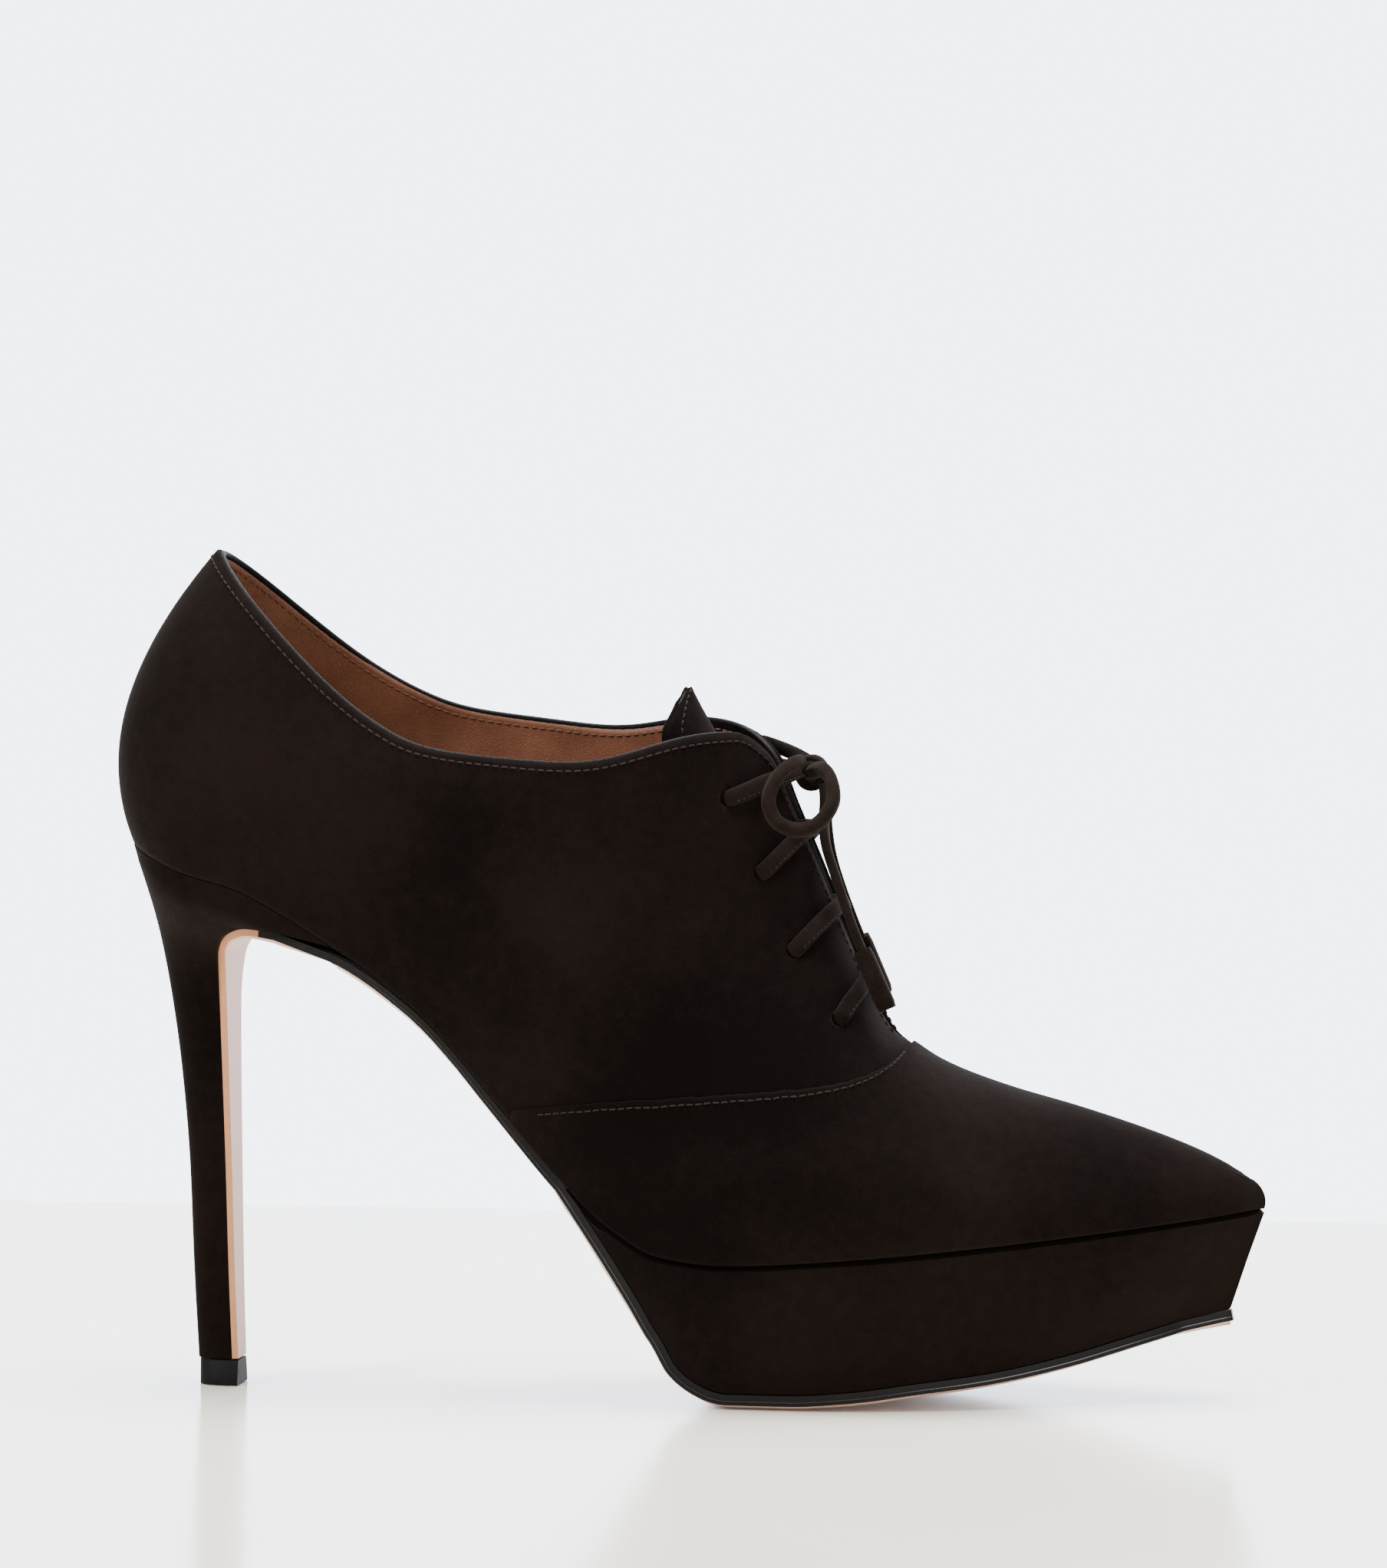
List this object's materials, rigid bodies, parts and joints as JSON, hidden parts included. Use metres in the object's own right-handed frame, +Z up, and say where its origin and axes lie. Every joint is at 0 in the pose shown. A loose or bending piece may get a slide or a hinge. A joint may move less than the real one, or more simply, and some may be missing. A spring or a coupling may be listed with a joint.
{
  "type": "lace up platform heel",
  "caption": "Pointed suede lace up shoe with a low cut collar, a covered forefoot platform, a stiletto heel and a small bow at the throat.",
  "frame": {"origin": "on the floor, in the middle of the outsole's flat tread under the ball of the foot", "axes": "+X along the shoe to the toe, +Y to the big-toe side, +Z up from the floor"},
  "size_m": [0.2414, 0.0716, 0.1762],
  "materials": {
    "suede": "soft nap, matt",
    "lining": "satin",
    "sole_leather": "satin, black polished edge",
    "top_piece": "semi gloss"
  },
  "bodies": {
    "root": {"upper": "suede", "tongue": "suede", "insole": "lining", "platform": "suede", "outsole": "sole_leather", "heel": "suede", "heel_top_piece": "top_piece", "laces": "suede", "lace_knot": "suede", "lace_loop_near": "suede", "lace_loop_far": "suede", "lace_end_near": "suede", "lace_end_far": "suede", "aglet_near": "suede", "aglet_far": "suede"}
  },
  "joints": []
}
